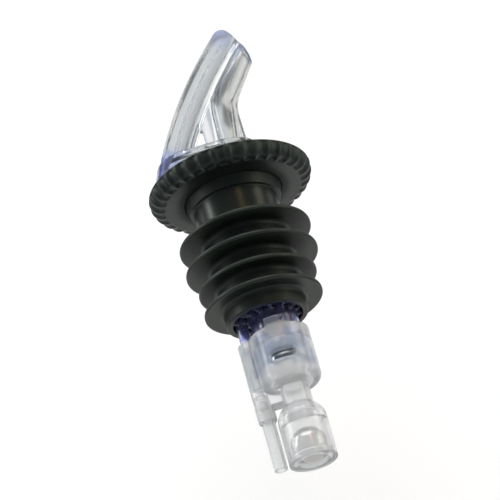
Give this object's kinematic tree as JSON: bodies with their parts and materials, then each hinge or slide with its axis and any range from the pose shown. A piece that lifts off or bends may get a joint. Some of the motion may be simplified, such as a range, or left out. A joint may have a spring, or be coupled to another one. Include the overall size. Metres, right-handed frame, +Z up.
{
  "type": "measured liquor pourer",
  "caption": "Clear bottle pourer: bent spout with a vent strut, fluted collar and finned rubber cork, over a ball-timed measuring chamber, reset valve and breather.",
  "frame": {"origin": "on the cork's axis, in the plane where the collar's underside meets the bottle's lip", "axes": "+Z up along the cork, towards the spout; the spout pours towards +X; XZ is its plane of symmetry"},
  "size_m": [0.034, 0.034, 0.0977],
  "materials": {
    "clear": "clear moulded plastic with a faint blue cast",
    "tinted": "clear moulded plastic with a deep blue-violet tint",
    "collar_plastic": "black moulded plastic, satin",
    "cork_rubber": "soft black rubber, satin",
    "steel": "polished steel bearing balls"
  },
  "bodies": {
    "pourer": {"pour_spout": "clear", "collar": "collar_plastic", "cork": "cork_rubber", "timing_barrel": "tinted", "measuring_chamber": "clear", "valve_cage": "clear", "cage_cap": "clear", "breather_tail": "clear"},
    "timing_ball_body": {"timing_ball": "steel"},
    "reset_ball_body": {"reset_ball": "steel"},
    "breather_ball_body": {"breather_ball": "steel"}
  },
  "joints": [
    {"name": "timing_ball_slide", "type": "slide", "parent": "pourer", "child": "timing_ball_body", "axis": [0, 0, 1], "range_m": [0, 0.03666]},
    {"name": "reset_ball_slide", "type": "slide", "parent": "pourer", "child": "reset_ball_body", "axis": [0, 0, 1], "range_m": [0, 0.00309]},
    {"name": "breather_ball_slide", "type": "slide", "parent": "pourer", "child": "breather_ball_body", "axis": [0, 0, 1], "range_m": [0, 0.001]}
  ]
}
